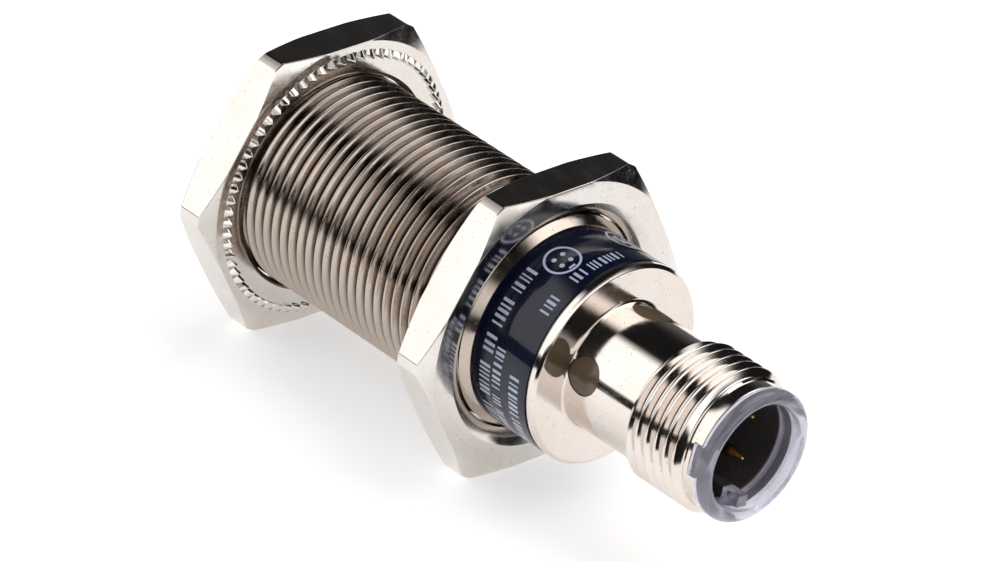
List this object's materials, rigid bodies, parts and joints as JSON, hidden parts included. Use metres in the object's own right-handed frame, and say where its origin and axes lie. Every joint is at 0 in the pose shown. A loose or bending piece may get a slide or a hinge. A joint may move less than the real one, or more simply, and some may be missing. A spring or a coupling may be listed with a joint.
{
  "type": "proximity sensor",
  "caption": "Inductive proximity sensor with a threaded nickel-plated barrel, mounting nuts and a threaded plug connector.",
  "frame": {"origin": "centre of the sensing face", "axes": "+X along the barrel's axis, from the sensing face to the connector; +Z square to a flat of each nut"},
  "size_m": [0.0525, 0.0272, 0.024],
  "materials": {
    "nickel": "nickel-plated brass, turned",
    "navy_film": "glossy printed film",
    "cap_plastic": "moulded, fine grain",
    "ferrite": "sintered, matt",
    "black_plastic": "moulded package",
    "copper": "bare or enamelled copper",
    "board": "solder mask over glass laminate",
    "tantalum": "moulded package",
    "ceramic": "fired ceramic with plated ends",
    "clear_led": "clear epoxy",
    "resin": "cast resin",
    "amber_plastic": "translucent brown, moulded",
    "dark_plastic": "moulded, fine grain",
    "smoke_plastic": "translucent smoke grey, moulded",
    "rubber": "matt",
    "gold": "gold-plated",
    "nickel_nut": "nickel-plated brass, turned and milled"
  },
  "bodies": {
    "housing": {"barrel": "nickel", "connector_shell": "nickel", "type_label": "navy_film", "sensing_cap": "cap_plastic", "ferrite_core": "ferrite", "coil_bobbin": "black_plastic", "coil_winding": "copper", "coil_lead_1": "copper", "coil_lead_2": "copper", "circuit_board": "board", "oscillator_chip": "black_plastic", "output_transistor": "black_plastic", "storage_capacitor": "tantalum", "protection_diode": "black_plastic", "filter_capacitor_1": "ceramic", "filter_capacitor_2": "ceramic", "resistor_1": "black_plastic", "resistor_2": "black_plastic", "resistor_3": "black_plastic", "led_1": "clear_led", "led_2": "clear_led", "potting_resin": "resin", "light_guide": "amber_plastic", "contact_carrier": "dark_plastic", "lip_ring": "smoke_plastic", "carrier_seal": "rubber", "pin_1": "gold", "pin_2": "gold", "pin_3": "gold", "pin_4": "gold", "pin_lead_1": "copper", "pin_lead_2": "copper", "pin_lead_3": "copper", "pin_lead_4": "copper"},
    "front_nut": {"nut_front": "nickel_nut"},
    "rear_nut": {"nut_rear": "nickel_nut"}
  },
  "joints": [
    {"name": "nut_front_travel", "type": "slide", "parent": "housing", "child": "front_nut", "axis": [1, 0, 0], "range_m": [-0.001, 0.01]},
    {"name": "nut_rear_travel", "type": "slide", "parent": "housing", "child": "rear_nut", "axis": [1, 0, 0], "range_m": [-0.01, 0]}
  ]
}
